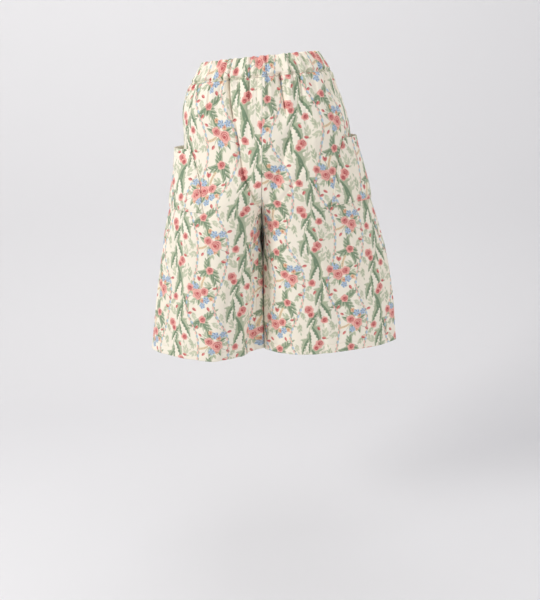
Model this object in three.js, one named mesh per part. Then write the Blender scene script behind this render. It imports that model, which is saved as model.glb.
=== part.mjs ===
// Pull-on culottes in printed cotton canvas, as worn: wide legs, a gathered elastic casing at
// the waist and a patch pocket over each side seam. They are hollow, open at waist and hems.
// Millimetres, +Z up, the front faces -Y, and the wearer's left is +X.
// The origin is the middle of the waist opening, where the wearer's waist holds the garment.
import * as THREE from "three";

// Driving sizes
const LENGTH = 646; // waist edge to hem
const CASING_DEPTH = 46; // height of the elastic casing
const FORK_TOP = 150; // drop at which the two legs begin to part
const CROTCH = 335; // drop of the point where the four panels meet
const PANEL_WALL = 2;
const CASING_WALL = 3; // cloth folded over the elastic
const POCKET_WALL = 2;
const SEAM_GAP = 0.3; // between pieces that are sewn together
const WAIST_TILT = THREE.MathUtils.degToRad(3.6); // the wearer's left hip stands higher
const TILT_END = 300; // drop at which the tilt has died away

const PANEL_COLUMNS = 24;
const CASING_COLUMNS = 52; // in each quarter of the waist
const CASING_ROWS = [0, 15, 31, CASING_DEPTH];
const CASING_GATHERS = 52;
const PANEL_GATHERS = 22; // gathers that run on below the casing, counted all round

const POCKET_HEIGHT = 134;
const POCKET_HALF_TOP = 76; // from the side seam to either edge, at the mouth
const POCKET_HALF_BOTTOM = 130;
const POCKET_COLUMNS = 8; // on each side of the seam
const POCKET_ROWS = 6;
const POCKET_REST = 1.1; // clearance between a pocket's sewn edges and the leg

// The worn form at each drop below the waist edge: how far the silhouette reaches to the
// wearer's right and left, where the centre seams stand, and how deep each panel stands off
// the plane through the side seams.
const FORM = table(
  ["drop", "right", "left", "centre", "frontRight", "frontLeft", "backRight", "backLeft"],
  [
    [0, 126, 119, 0, 93, 93, 95, 95],
    [20, 138, 133, 0, 100, 100, 103, 103],
    [46, 158, 148, 0, 109, 109, 114, 114],
    [75, 170, 160, -1, 116, 116, 124, 124],
    [105, 176, 173, -2, 121, 121, 132, 132],
    [150, 177, 187, -4, 125, 125, 143, 143],
    [200, 179, 193, -6, 127, 126, 148, 148],
    [250, 191, 210, -8, 128, 124, 146, 146],
    [300, 213, 231, -10, 127, 119, 140, 138],
    [357, 231, 250, -12, 124, 112, 134, 126],
    [430, 246, 270, -13, 120, 104, 128, 114],
    [530, 265, 287, -15, 115, 96, 126, 102],
    [646, 284, 296, -17, 111, 90, 125, 94],
  ],
);

// Squareness of a leg's section at the hem, and how far out from the inner leg it is deepest.
const HEM_SHAPE = {
  frontRight: { inner: 1.6, outer: 1.5, deepest: 0.42 },
  frontLeft: { inner: 2.4, outer: 1.45, deepest: 0.38 },
  backRight: { inner: 1.9, outer: 1.7, deepest: 0.5 },
  backLeft: { inner: 1.9, outer: 1.7, deepest: 0.5 },
};
const SEAT_SQUARE = 2.25;
const CROTCH_SQUARE = 2.8;

// Half of the slit between the two legs.
const LEG_SLIT = table(
  ["drop", "half"],
  [
    [335, 0.15],
    [350, 2.4],
    [385, 5],
    [430, 2.4],
    [500, 0.8],
    [646, 0.6],
  ],
);

// The largest folds. Across runs from 0 at the centre or inner leg seam to 1 at the side seam.
// A positive depth stands out and a negative one sinks in.
const FOLDS = table(
  ["panel", "acrossTop", "dropTop", "acrossEnd", "dropEnd", "width", "depth"],
  [
    ["frontRight", 0.34, 40, 0.22, 150, 13, -6],
    ["frontRight", 0.24, 130, 0.06, 290, 16, -4],
    ["frontRight", 0.6, 40, 0.55, 190, 20, 4],
    ["frontRight", 0.22, 330, 0.18, 700, 20, -8],
    ["frontRight", 0.5, 300, 0.47, 700, 34, 5],
    ["frontRight", 0.8, 330, 0.78, 700, 28, -4],
    ["frontLeft", 0.2, 40, 0.19, 140, 13, -6],
    ["frontLeft", 0.22, 150, 0.06, 290, 16, -4],
    ["frontLeft", 0.48, 40, 0.5, 200, 20, 4],
    ["frontLeft", 0.6, 300, 0.58, 700, 30, -5],
    ["frontLeft", 0.36, 330, 0.32, 700, 34, 4],
    ["frontLeft", 0.84, 340, 0.82, 700, 26, 4],
    ["backRight", 0.3, 40, 0.25, 190, 16, -5],
    ["backRight", 0.62, 40, 0.55, 230, 20, -5],
    ["backRight", 0.3, 260, 0.28, 700, 30, -6],
    ["backRight", 0.66, 300, 0.64, 700, 32, 5],
    ["backLeft", 0.34, 40, 0.3, 200, 16, -5],
    ["backLeft", 0.64, 40, 0.58, 220, 20, -5],
    ["backLeft", 0.34, 250, 0.36, 700, 30, -6],
    ["backLeft", 0.7, 310, 0.72, 700, 32, 5],
  ],
);

// Where each pocket's mouth lies, how far it stands off the leg, and how its belly sags.
const POCKETS = {
  Right: { mouth: 179, gape: 22, sag: 9 },
  Left: { mouth: 174, gape: 16, sag: 8 },
};

// Drops of the panels' rows: close under the gathers and at the fork, wide along the legs.
const PANEL_ROWS = [
  CASING_DEPTH + SEAM_GAP,
  ...[58, 74, 92, 112, 134, 158, 184, 210, 236, 262, 284, 302, 317, 328, CROTCH],
  ...[341, 356, 380, 420, 466, 514, 562, 606, LENGTH],
];

// Named rows from a list of column names and rows of values.
function table(names, rows) {
  return rows.map((row) => Object.fromEntries(names.map((name, i) => [name, row[i]])));
}

const lerp = THREE.MathUtils.lerp;
const smooth = (x) => {
  const t = THREE.MathUtils.clamp(x, 0, 1);
  return t * t * (3 - 2 * t);
};

// A column of a table at a drop, on a smooth curve through its rows.
function along(rows, name, drop) {
  const last = rows.length - 1;
  const d = THREE.MathUtils.clamp(drop, rows[0].drop, rows[last].drop);
  let i = 0;
  while (i < last - 1 && rows[i + 1].drop < d) i++;
  const slope = (k) => {
    const a = rows[Math.max(k - 1, 0)];
    const b = rows[Math.min(k + 1, last)];
    return (b[name] - a[name]) / (b.drop - a.drop);
  };
  const step = rows[i + 1].drop - rows[i].drop;
  const t = (d - rows[i].drop) / step;
  const [a, b] = [rows[i][name], rows[i + 1][name]];
  return (
    a * (1 + 2 * t) * (1 - t) ** 2 +
    b * t * t * (3 - 2 * t) +
    step * (slope(i) * t * (1 - t) ** 2 - slope(i + 1) * t * t * (1 - t))
  );
}

// A panel is named by its face, front or back, and the wearer's side, Right or Left.
const sideOf = (panel) => (panel.endsWith("Left") ? 1 : -1);
const faceOf = (panel) => (panel.startsWith("front") ? -1 : 1);
const panelAt = (face, side) => (face < 0 ? "front" : "back") + (side > 0 ? "Left" : "Right");

// Where round the body a point lies, as a share of a turn from the centre front.
function turnOf(panel, across) {
  const quarter = faceOf(panel) < 0 ? across / 4 : 0.5 - across / 4;
  return sideOf(panel) * quarter;
}

// A gather's height, from -1 to 1: a wave whose length and strength wander round the waist.
function gatherWave(turn, count) {
  const round = 2 * Math.PI * turn;
  const phase = count * round + 0.9 * Math.sin(3 * round + 1) + 0.7 * Math.sin(7 * round + 2);
  return Math.sin(phase) * (0.78 + 0.22 * Math.sin(5 * round + 0.5));
}

// How far folds and gathers move a point of a panel out of the plain form.
function foldDepth(panel, across, drop, width) {
  const gathers = 3 * (1 - smooth((drop - 50) / 120));
  let depth = gathers * gatherWave(turnOf(panel, across), PANEL_GATHERS);
  const seamEase = smooth(across / 0.05) * smooth((1 - across) / 0.06);
  for (const fold of FOLDS.filter((row) => row.panel === panel)) {
    const run = (drop - fold.dropTop) / (fold.dropEnd - fold.dropTop);
    const middle = lerp(fold.acrossTop, fold.acrossEnd, run);
    const away = ((across - middle) * width) / fold.width;
    const ends = smooth(run / 0.2) * smooth((1 - run) / 0.25);
    depth += fold.depth * Math.exp(-away * away) * ends * seamEase;
  }
  return depth;
}

// One panel's plain section: the front or back half of an oval round its leg, cut where it
// meets the other leg. The oval slides out from the body's middle as the legs part.
function plainSection(panel, drop, gap) {
  const side = sideOf(panel);
  const shape = HEM_SHAPE[panel];
  const parting = smooth((drop - FORK_TOP) / (CROTCH - FORK_TOP));
  const centre = along(FORM, "centre", drop);
  const reach = along(FORM, side > 0 ? "left" : "right", drop) - side * centre;
  const depth = along(FORM, panel, drop);
  const slit = drop > CROTCH ? along(LEG_SLIT, "half", drop) : gap;
  const middle = parting * shape.deepest * reach;
  const innerHalf = reach * (1 - parting * (1 - shape.deepest));
  const innerPower = lerp(CROTCH_SQUARE, shape.inner, smooth((drop - 380) / (LENGTH - 380)));
  const outerPower = lerp(SEAT_SQUARE, shape.outer, smooth((drop - 130) / 220));
  const start = Math.acos(Math.min(1, middle / innerHalf));
  const line = [];
  for (let i = 0; i <= 160; i++) {
    const angle = lerp(start, Math.PI, i / 160);
    const inner = angle < Math.PI / 2;
    const power = inner ? innerPower : outerPower;
    const swing = Math.abs(Math.cos(angle)) ** (2 / power) * (inner ? -innerHalf : reach - middle);
    const x = centre + side * Math.max(slit, middle + swing);
    const y = depth * Math.max(0, Math.sin(angle)) ** (2 / power);
    line.push(new THREE.Vector2(x, faceOf(panel) * Math.max(y, gap)));
  }
  return line;
}

// A section's points at equal steps from the centre or inner seam to the side seam. The centre
// seams of the left and right panels are eased onto one line.
function section(panel, drop, columns, gap) {
  const line = plainSection(panel, drop, gap);
  const other = plainSection(panelAt(faceOf(panel), -sideOf(panel)), drop, gap);
  const seamShift = drop <= CROTCH ? (other[0].y - line[0].y) / 2 : 0;
  const length = [0];
  for (let i = 1; i < line.length; i++) {
    length.push(length[i - 1] + line[i].distanceTo(line[i - 1]));
  }
  const whole = length[line.length - 1];
  const points = [];
  for (let c = 0, i = 1; c <= columns; c++) {
    const wanted = (whole * c) / columns;
    while (i < line.length - 1 && length[i] < wanted) i++;
    const part = (wanted - length[i - 1]) / (length[i] - length[i - 1]);
    const point = line[i - 1].clone().lerp(line[i], Math.min(1, part));
    point.y += seamShift * Math.exp(-((wanted / 90) ** 2));
    points.push(point);
  }
  return { points, whole };
}

// A point's height, with the tilt of the waist.
function height(x, drop) {
  return -drop + x * Math.tan(WAIST_TILT) * (1 - smooth(drop / TILT_END));
}

// The level outward direction of a section at one of its columns.
function levelOutward(panel, points, c) {
  const before = points[Math.max(c - 1, 0)];
  const after = points[Math.min(c + 1, points.length - 1)];
  return new THREE.Vector2(before.y - after.y, after.x - before.x)
    .multiplyScalar(sideOf(panel) * faceOf(panel))
    .normalize();
}

// The outer surface of a panel as rows of points, with its folds.
function panelSurface(panel) {
  return PANEL_ROWS.map((drop) => {
    const { points, whole } = section(panel, drop, PANEL_COLUMNS, SEAM_GAP / 2);
    return points.map((point, c) => {
      const outward = levelOutward(panel, points, c);
      if (c === PANEL_COLUMNS) outward.set(sideOf(panel), 0);
      if (c === 0) outward.set(0, drop < CROTCH ? faceOf(panel) : 0);
      const depth = foldDepth(panel, c / PANEL_COLUMNS, drop, whole);
      const moved = point.clone().addScaledVector(outward, depth);
      return new THREE.Vector3(moved.x, moved.y, height(moved.x, drop));
    });
  });
}

// Outward directions over a grid of points; turn is 1 or -1, by the way its columns run.
function gridOutward(grid, turn) {
  return grid.map((row, r) =>
    row.map((_, c) => {
      const over = grid[Math.max(r - 1, 0)][c];
      const under = grid[Math.min(r + 1, grid.length - 1)][c];
      const down = under.clone().sub(over);
      const across = row[Math.min(c + 1, row.length - 1)].clone().sub(row[Math.max(c - 1, 0)]);
      return across.cross(down).multiplyScalar(turn).normalize();
    }),
  );
}

// The outward directions of a panel, kept in the seam planes along its edges and level at its
// top and hem.
function panelOutward(panel, grid) {
  const outward = gridOutward(grid, sideOf(panel) * faceOf(panel));
  outward.forEach((row, r) => {
    const atCrotch = PANEL_ROWS[r] === CROTCH;
    const first = row[0];
    if (PANEL_ROWS[r] < CROTCH) first.x = 0;
    if (PANEL_ROWS[r] > CROTCH) first.set(-sideOf(panel), 0, 0);
    if (atCrotch) first.set(0, 0, -1);
    row[row.length - 1].y = 0;
    if (r === 0 || r === PANEL_ROWS.length - 1) row.forEach((v) => v.setZ(0));
    row.forEach((v) => v.normalize());
  });
  return outward;
}

// Moves every point of a grid along its outward direction.
const offset = (grid, outward, distance) =>
  grid.map((row, r) => row.map((p, c) => p.clone().addScaledVector(outward[r][c], distance)));

// A closed body between two grids. A ring joins its last column to its first.
function bodyBetween(outer, inner, ring = false) {
  const rows = outer.length;
  const columns = outer[0].length;
  const positions = [...outer.flat(), ...inner.flat()].flatMap((p) => [p.x, p.y, p.z]);
  const at = (layer, r, c) => layer * rows * columns + r * columns + (c % columns);
  const faces = [];
  const quad = (a, b, c, d) => faces.push(a, b, c, a, c, d);
  const across = ring ? columns : columns - 1;
  for (let r = 0; r < rows - 1; r++) {
    for (let c = 0; c < across; c++) {
      quad(at(0, r, c), at(0, r + 1, c), at(0, r + 1, c + 1), at(0, r, c + 1));
      quad(at(1, r, c), at(1, r, c + 1), at(1, r + 1, c + 1), at(1, r + 1, c));
    }
  }
  for (let c = 0; c < across; c++) {
    const last = rows - 1;
    quad(at(0, 0, c), at(0, 0, c + 1), at(1, 0, c + 1), at(1, 0, c));
    quad(at(0, last, c), at(1, last, c), at(1, last, c + 1), at(0, last, c + 1));
  }
  for (let r = 0; r < rows - 1 && !ring; r++) {
    const last = columns - 1;
    quad(at(0, r, 0), at(1, r, 0), at(1, r + 1, 0), at(0, r + 1, 0));
    quad(at(0, r, last), at(0, r + 1, last), at(1, r + 1, last), at(1, r, last));
  }
  const geometry = new THREE.BufferGeometry();
  geometry.setAttribute("position", new THREE.Float32BufferAttribute(positions, 3));
  geometry.setIndex(facingOut(positions, faces));
  geometry.computeVertexNormals();
  return geometry;
}

// Turns all faces over when they enclose a negative volume.
function facingOut(positions, faces) {
  const point = (i) => new THREE.Vector3().fromArray(positions, 3 * i);
  let volume = 0;
  for (let i = 0; i < faces.length; i += 3) {
    const [a, b, c] = [point(faces[i]), point(faces[i + 1]), point(faces[i + 2])];
    volume += a.dot(b.cross(c));
  }
  return volume < 0 ? faces.toReversed() : faces;
}

// Leg panels
const surfaces = {};
const outwards = {};
for (const panel of Object.keys(HEM_SHAPE)) {
  surfaces[panel] = panelSurface(panel);
  outwards[panel] = panelOutward(panel, surfaces[panel]);
}

function legPanel(panel) {
  return bodyBetween(surfaces[panel], offset(surfaces[panel], outwards[panel], -PANEL_WALL));
}

// Elastic casing, gathered all round
function casingRow(drop, inward, gatherHeight) {
  const ring = [];
  for (const panel of ["frontLeft", "backLeft", "backRight", "frontRight"]) {
    const { points } = section(panel, drop, CASING_COLUMNS, 0);
    const forward = turnOf(panel, 0) < turnOf(panel, 1);
    for (let k = 0; k < CASING_COLUMNS; k++) {
      const c = forward ? k : CASING_COLUMNS - k;
      const wave = gatherHeight * gatherWave(turnOf(panel, c / CASING_COLUMNS), CASING_GATHERS);
      const outward = levelOutward(panel, points, c);
      if (c === 0) outward.set(0, faceOf(panel));
      if (c === CASING_COLUMNS) outward.set(sideOf(panel), 0);
      const moved = points[c].clone().addScaledVector(outward, wave - inward);
      ring.push(new THREE.Vector3(moved.x, moved.y, height(moved.x, drop)));
    }
  }
  return ring;
}

function waistCasing() {
  const gathers = (drop) => (drop === 0 || drop === CASING_DEPTH ? 1.5 : 1.1);
  const outer = CASING_ROWS.map((drop) => casingRow(drop, 0, gathers(drop)));
  const inner = CASING_ROWS.map((drop) => casingRow(drop, CASING_WALL, 0.3));
  return bodyBetween(outer, inner, true);
}

// A point of a leg's outer surface and its outward direction, at a drop and a distance along
// the cloth from the side seam.
function onLeg(panel, drop, fromSeam) {
  let r = 0;
  while (r < PANEL_ROWS.length - 2 && PANEL_ROWS[r + 1] < drop) r++;
  const share = (drop - PANEL_ROWS[r]) / (PANEL_ROWS[r + 1] - PANEL_ROWS[r]);
  const onRow = (k) => {
    const row = surfaces[panel][k];
    let left = fromSeam;
    let c = PANEL_COLUMNS;
    while (c > 1 && left > row[c].distanceTo(row[c - 1])) left -= row[c].distanceTo(row[--c]);
    const part = left / row[c].distanceTo(row[c - 1]);
    return {
      point: row[c].clone().lerp(row[c - 1], part),
      outward: outwards[panel][k][c].clone().lerp(outwards[panel][k][c - 1], part),
    };
  };
  const [above, below] = [onRow(r), onRow(r + 1)];
  return {
    point: above.point.lerp(below.point, share),
    outward: above.outward.lerp(below.outward, share).normalize(),
  };
}

// A patch pocket over a side seam, made from the leg's points moved out
function patchPocket(sideName) {
  const { mouth, gape, sag } = POCKETS[sideName];
  const against = [];
  const outward = [];
  for (let r = 0; r <= POCKET_ROWS; r++) {
    const run = r / POCKET_ROWS;
    const halfWidth = lerp(POCKET_HALF_TOP, POCKET_HALF_BOTTOM, run);
    const points = [];
    const directions = [];
    for (let k = -POCKET_COLUMNS; k <= POCKET_COLUMNS; k++) {
      const share = k / POCKET_COLUMNS;
      const face = k <= 0 ? "front" : "back";
      const leg = onLeg(face + sideName, mouth + POCKET_HEIGHT * run, Math.abs(share) * halfWidth);
      const crown = (1 - share * share) ** 1.2;
      const stand = (gape * (1 - run) ** 1.6 + 4 * sag * run * (1 - run)) * crown;
      if (k === 0) leg.outward.setY(0).normalize();
      points.push(leg.point.addScaledVector(leg.outward, POCKET_REST + stand));
      if (k === 0) points[points.length - 1].y = 0;
      directions.push(leg.outward);
    }
    against.push(points);
    outward.push(directions);
  }
  return bodyBetween(offset(against, outward, POCKET_WALL), against);
}

const cloth = (name, colour) =>
  new THREE.MeshStandardMaterial({ name, color: colour, roughness: 0.9, metalness: 0 });

const garment = new THREE.Group();
garment.name = "culottes";
const add = (name, geometry, colour) => {
  const mesh = new THREE.Mesh(geometry, cloth(name + "_cotton", colour));
  mesh.name = name;
  garment.add(mesh);
};

add("waist_casing", waistCasing(), 0xe6e0cf);
add("front_panel_right", legPanel("frontRight"), 0xe9e4d4);
add("front_panel_left", legPanel("frontLeft"), 0xe9e4d4);
add("back_panel_right", legPanel("backRight"), 0xe9e4d4);
add("back_panel_left", legPanel("backLeft"), 0xe9e4d4);
add("patch_pocket_right", patchPocket("Right"), 0xe4dfcd);
add("patch_pocket_left", patchPocket("Left"), 0xe4dfcd);

export default garment;
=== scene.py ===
"""Worn pull-on culottes in printed cotton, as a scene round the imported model."""
import bpy
import numpy as np
from mathutils import Matrix, Vector


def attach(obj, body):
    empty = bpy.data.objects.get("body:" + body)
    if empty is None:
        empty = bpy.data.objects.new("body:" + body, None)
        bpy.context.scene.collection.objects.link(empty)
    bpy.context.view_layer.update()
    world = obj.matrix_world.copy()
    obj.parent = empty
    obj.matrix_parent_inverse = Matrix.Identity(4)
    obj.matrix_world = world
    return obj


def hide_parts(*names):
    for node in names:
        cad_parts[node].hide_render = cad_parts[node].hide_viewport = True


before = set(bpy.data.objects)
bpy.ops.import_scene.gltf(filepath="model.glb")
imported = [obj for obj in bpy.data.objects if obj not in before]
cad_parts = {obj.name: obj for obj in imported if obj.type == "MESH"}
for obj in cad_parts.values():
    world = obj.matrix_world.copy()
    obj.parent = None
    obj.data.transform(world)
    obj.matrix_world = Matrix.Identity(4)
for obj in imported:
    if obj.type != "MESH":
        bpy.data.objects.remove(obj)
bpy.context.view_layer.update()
scene = bpy.context.scene

# Camera
# It stands 1.7 m in front of the garment at the height of the waist, looks down by sixteen
# degrees and leans by two, as a camera held by hand does.
CAMERA_PLACE = Vector((0.0, -1.7, -0.053))
LOOKS_DOWN, LEANS = np.radians(16.0), np.radians(2.0)
FOCAL_PIXELS, PICTURE_HEIGHT, SENSOR = 757.0, 600.0, 36.0
camera_data = bpy.data.cameras.new("camera")
camera_data.sensor_width = SENSOR
camera_data.lens = FOCAL_PIXELS / PICTURE_HEIGHT * SENSOR
camera = bpy.data.objects.new("camera", camera_data)
turned = Matrix.Rotation(np.pi / 2 - LOOKS_DOWN, 4, "X") @ Matrix.Rotation(-LEANS, 4, "Z")
camera.matrix_world = Matrix.Translation(CAMERA_PLACE) @ turned
scene.collection.objects.link(camera)
scene.camera = camera

# Pale room
# A plain floor that curves up into a plain wall, far enough behind to stay soft. Four square
# lamps and a pale sky light it evenly, a little more from the front left.
FLOOR_Z, WALL_Y, BEND, ROOM_HALF = -1.2, 1.5, 0.6, 4.0
ROOM_ROWS, ROOM_COLUMNS = 81, 9
PAPER, PAPER_ROUGHNESS = (0.79, 0.785, 0.8, 1.0), 0.95
SKY, SKY_STRENGTH = (0.98, 0.98, 1.0, 1.0), 0.42
GARMENT_MIDDLE = Vector((0.0, 0.0, -0.33))


def room_sheet():
    """Floor, quarter-round bend and wall: one profile, carried straight from side to side."""
    run = np.linspace(-ROOM_HALF, ROOM_HALF, ROOM_ROWS)[:, None]
    angle = np.clip(run / BEND, 0.0, np.pi / 2)
    past = np.maximum(run - BEND * np.pi / 2, 0.0)
    x = np.linspace(-ROOM_HALF, ROOM_HALF, ROOM_COLUMNS)[None, :]
    y = WALL_Y - BEND + np.where(run < 0, run, BEND * np.sin(angle))
    z = FLOOR_Z + np.where(run < 0, 0.0, BEND * (1.0 - np.cos(angle)) + past)
    return np.stack(np.broadcast_arrays(x, y, z), -1)


def quads_of(index):
    """The quads between neighbouring rows and columns of a grid of vertex numbers."""
    corners = [index[:-1, :-1], index[1:, :-1], index[1:, 1:], index[:-1, 1:]]
    return np.stack(corners, -1).reshape(-1, 4)


def new_material(name):
    """A node material with only its surface shader and its output, joined."""
    material = bpy.data.materials.new(name)
    material.use_nodes = True
    tree = material.node_tree
    tree.nodes.clear()
    shader = tree.nodes.new("ShaderNodeBsdfPrincipled")
    output = tree.nodes.new("ShaderNodeOutputMaterial")
    tree.links.new(shader.outputs[0], output.inputs[0])
    return material, tree, shader


def soft_lamp(name, place, size, watts, colour):
    """A square lamp that faces the middle of the garment."""
    lamp = bpy.data.lights.new(name, "AREA")
    lamp.size, lamp.energy, lamp.color = size, watts, colour
    holder = bpy.data.objects.new(name, lamp)
    away = Vector(place) - GARMENT_MIDDLE
    holder.matrix_world = Matrix.Translation(place) @ away.to_track_quat("Z", "Y").to_matrix().to_4x4()
    scene.collection.objects.link(holder)


room_points = room_sheet()
room_mesh = bpy.data.meshes.new("room")
room_index = np.arange(room_points[..., 0].size).reshape(room_points.shape[:2])
room_mesh.from_pydata(room_points.reshape(-1, 3).tolist(), [], quads_of(room_index)[:, ::-1].tolist())
room_mesh.shade_smooth()
room = bpy.data.objects.new("room", room_mesh)
scene.collection.objects.link(room)
room_material, _, room_shader = new_material("pale_paper")
room_shader.inputs["Base Color"].default_value = PAPER
room_shader.inputs["Roughness"].default_value = PAPER_ROUGHNESS
room_mesh.materials.append(room_material)
soft_lamp("window", (-2.5, -1.5, 1.2), 1.1, 60.0, (1.0, 0.985, 0.955))
soft_lamp("fill", (2.2, -1.9, 0.3), 2.2, 24.0, (1.0, 0.99, 0.98))
soft_lamp("top", (0.0, 0.2, 2.0), 2.0, 20.0, (1.0, 1.0, 1.0))
soft_lamp("behind", (0.9, 2.0, 1.2), 1.6, 16.0, (1.0, 1.0, 1.0))
sky = bpy.data.worlds.new("pale_sky")
sky.use_nodes = True
sky.node_tree.nodes["Background"].inputs[0].default_value = SKY
sky.node_tree.nodes["Background"].inputs[1].default_value = SKY_STRENGTH
scene.world = sky
scene.view_settings.view_transform = "Standard"

# Leg panels
# Two fronts and two backs of firm printed cotton, joined at the centre, inner leg and side
# seams. They are cut wide, gathered into the casing, and turned up in a narrow stitched hem.
# Millimetres are used throughout, and a mesh is written in metres.
LENGTH, CASING_DEPTH, FORK_TOP, CROTCH = 646.0, 41.0, 150.0, 335.0
SEAM_HALF, CLOTH, HEM_TURN = 0.15, 1.1, 20.0
# The tilt of the waist and the drop at which it ends; then a panel's cut width at the hip, the
# drop of the hip, and the flare below it.
WAIST_TILT, TILT_ENDS = np.radians(3.6), 300.0
CUT_WIDTH, HIP_DROP, FLARE = 262.0, 200.0, 0.085
# The worn form at each drop: how far it reaches to each side, where its middle lies, and its
# depths before and behind.
FORM = dict(
    drop=[0, 20, 46, 75, 105, 150, 200, 250, 300, 357, 430, 530, 646],
    Right=[126, 138, 158, 170, 176, 177, 179, 191, 213, 231, 246, 265, 284],
    Left=[119, 133, 148, 160, 173, 187, 193, 210, 231, 250, 270, 287, 296],
    centre=[0, 0, 0, -1, -2, -4, -6, -8, -10, -12, -13, -15, -17],
    frontRight=[93, 100, 109, 116, 121, 125, 127, 128, 127, 124, 120, 115, 111],
    frontLeft=[93, 100, 109, 116, 121, 125, 126, 124, 119, 112, 104, 96, 90],
    backRight=[95, 103, 114, 124, 132, 143, 148, 146, 140, 134, 128, 126, 125],
    backLeft=[95, 103, 114, 124, 132, 143, 148, 146, 138, 126, 114, 102, 94],
)
# At the hem: squareness inside and outside the leg, and where the section is deepest.
HEM_SHAPE = dict(
    frontRight=(1.6, 1.5, 0.42),
    frontLeft=(2.4, 1.45, 0.38),
    backRight=(1.9, 1.7, 0.5),
    backLeft=(1.9, 1.7, 0.5),
)
SEAT_SQUARE, CROTCH_SQUARE = 2.25, 2.8
# Where the inner and the outer leg begin to ease into their shapes at the hem, over how far the
# outer one does, and how many points a section has.
INNER_EASES, OUTER_EASES, OUTER_RUN, SECTION_POINTS = 380.0, 130.0, 220.0, 401
# Half the slit between the legs at each drop.
SLIT_DROP, SLIT_HALF = [335, 350, 385, 430, 500, 646], [0.15, 2.4, 5.0, 2.4, 0.8, 0.6]
# Where the sections begin to lengthen as the legs part, and over how far.
PARTING_TOP, PARTING_RUN = 200.0, 220.0
# How near the two legs come where they touch.
TOUCH = 0.06
# The drop of each pocket's mouth, its height and its reach from the side seam.
POCKET_MOUTH, POCKET_HEIGHT, POCKET_REACH = dict(Right=179.0, Left=174.0), 134.0, 150.0
# The gathers under the casing: depth, count round the body, and where and how far they fade.
GATHER_DEPTH, GATHER_COUNT, GATHERS_FADE, FADE_RUN = 3.0, 22.0, 50.0, 120.0
# Heights and depths of the small relief.
RELIEF = dict(
    gathers=6.5, ridge=3.4, rumples=(1.6, 0.6, 0.2), seam=0.8, fork=10.0, stitches=0.55, hem=0.35
)
# Each fold: share across and drop at its top, the same at its end, width and depth.
FOLDS = dict(
    frontRight=[
        (0.31, 30, 0.2, 150, 12, -6),
        (0.24, 130, 0.06, 290, 16, -4),
        (0.6, 40, 0.55, 190, 20, 4),
        (0.22, 330, 0.18, 700, 20, -8),
        (0.5, 300, 0.47, 700, 34, 5),
        (0.8, 330, 0.78, 700, 28, -4),
    ],
    frontLeft=[
        (0.15, 40, 0.17, 140, 12, -6),
        (0.22, 150, 0.06, 290, 16, -4),
        (0.48, 40, 0.5, 200, 20, 4),
        (0.6, 300, 0.58, 700, 30, -5),
        (0.36, 330, 0.32, 700, 34, 4),
        (0.84, 340, 0.82, 700, 26, 4),
    ],
    backRight=[
        (0.3, 40, 0.25, 190, 16, -5),
        (0.62, 40, 0.55, 230, 20, -5),
        (0.3, 260, 0.28, 700, 30, -6),
        (0.66, 300, 0.64, 700, 32, 5),
    ],
    backLeft=[
        (0.34, 40, 0.3, 200, 16, -5),
        (0.64, 40, 0.58, 220, 20, -5),
        (0.34, 250, 0.36, 700, 30, -6),
        (0.7, 310, 0.72, 700, 32, 5),
    ],
)
# Narrower creases, in the same columns.
CREASES = dict(
    frontRight=[
        (0.362, 20, 0.255, 134, 6, -9),
        (0.354, 20, 0.25, 138, 1.9, -6.5),
        (0.26, 104, 0.15, 272, 6, -5.5),
        (0.25, 110, 0.15, 274, 2.2, -2.8),
        (0.18, 228, 0.03, 326, 7, -5),
        (0.178, 230, 0.032, 326, 2.2, -2.8),
        (0.52, 40, 0.48, 118, 5, -5),
        (0.14, 40, 0.11, 104, 5, -4.5),
        (0.24, 40, 0.2, 84, 4, -4),
        (0.74, 40, 0.7, 130, 6, -4),
        (0.03, 280, 0.2, 420, 9, 1.8),
        (0.36, 200, 0.1, 322, 8, -2.6),
        (0.16, 330, 0.13, 720, 7, -4.2),
        (0.08, 350, 0.07, 720, 6, -3),
        (0.21, 345, 0.2, 720, 7, -3.6),
        (0.3, 400, 0.27, 720, 10, 3.2),
        (0.4, 420, 0.42, 720, 9, -2.4),
        (0.62, 380, 0.6, 640, 14, -1.8),
    ],
    frontLeft=[
        (0.175, 20, 0.2, 124, 6, -7.5),
        (0.182, 20, 0.207, 130, 1.9, -7.5),
        (0.27, 120, 0.05, 320, 7, -4),
        (0.38, 40, 0.35, 112, 5, -5),
        (0.24, 40, 0.22, 92, 4, -4.5),
        (0.52, 40, 0.5, 96, 5, -4),
        (0.68, 40, 0.65, 126, 6, -4),
        (0.05, 285, 0.22, 400, 9, 1.6),
        (0.4, 190, 0.1, 322, 8, -2.6),
        (0.5, 400, 0.48, 720, 11, -2.8),
        (0.24, 420, 0.26, 720, 9, -2.4),
        (0.72, 360, 0.7, 640, 12, 2.4),
    ],
    backRight=[
        (0.2, 44, 0.17, 130, 5, -3.6),
        (0.45, 44, 0.4, 120, 6, -3),
        (0.74, 44, 0.7, 110, 5, -3),
        (0.36, 190, 0.08, 316, 9, -2.4),
        (0.05, 300, 0.2, 460, 10, 1.8),
        (0.5, 380, 0.48, 700, 12, -2),
    ],
    backLeft=[
        (0.24, 44, 0.2, 120, 5, -3.6),
        (0.5, 44, 0.46, 126, 6, -3),
        (0.78, 44, 0.76, 104, 5, -3),
        (0.34, 200, 0.07, 314, 9, -2.4),
        (0.06, 300, 0.24, 450, 10, 1.8),
        (0.54, 390, 0.55, 700, 12, -2),
    ],
)


def smooth(x):
    """Eases from 0 to 1, level at both ends: 3t^2 - 2t^3."""
    t = np.clip(x, 0.0, 1.0)
    return t * t * (3.0 - 2.0 * t)


def eased(x, start, run):
    """0 up to a start, 1 once the run is over, and smooth between."""
    return smooth((x - start) / run)


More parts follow.
